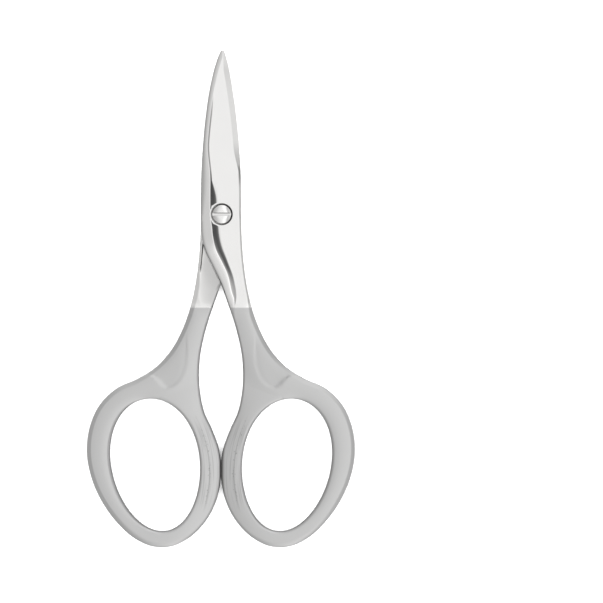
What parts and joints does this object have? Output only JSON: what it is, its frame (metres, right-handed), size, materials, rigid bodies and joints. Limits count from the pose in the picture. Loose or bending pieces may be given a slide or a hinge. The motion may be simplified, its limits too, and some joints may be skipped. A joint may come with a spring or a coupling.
{
  "type": "cuticle scissors",
  "caption": "Small curved-blade scissors with oval finger rings, two lapped halves that turn on a slotted pivot screw.",
  "frame": {"origin": "middle of the closed scissors' outline in plan, at the height of the lowest point, which is the end of the pivot screw", "axes": "+Y towards the tip of the blades, +Z towards the side with the screw head, +X to the right when that side is seen with the tip up"},
  "size_m": [0.0512, 0.0948, 0.0057],
  "materials": {
    "front_steel": "polished blade and joint, satin handle and ring",
    "rear_steel": "polished blade and joint, satin handle and ring",
    "screw_steel": "polished turned steel"
  },
  "bodies": {
    "rear": {"rear_half": "rear_steel", "pivot_screw": "screw_steel"},
    "front": {"front_half": "front_steel"}
  },
  "joints": [
    {"name": "pivot", "type": "hinge", "parent": "rear", "child": "front", "pos_m": [0.00017, 0.01615, 0.00242], "axis": [0, 0, 1], "range_deg": [0, 60]}
  ]
}
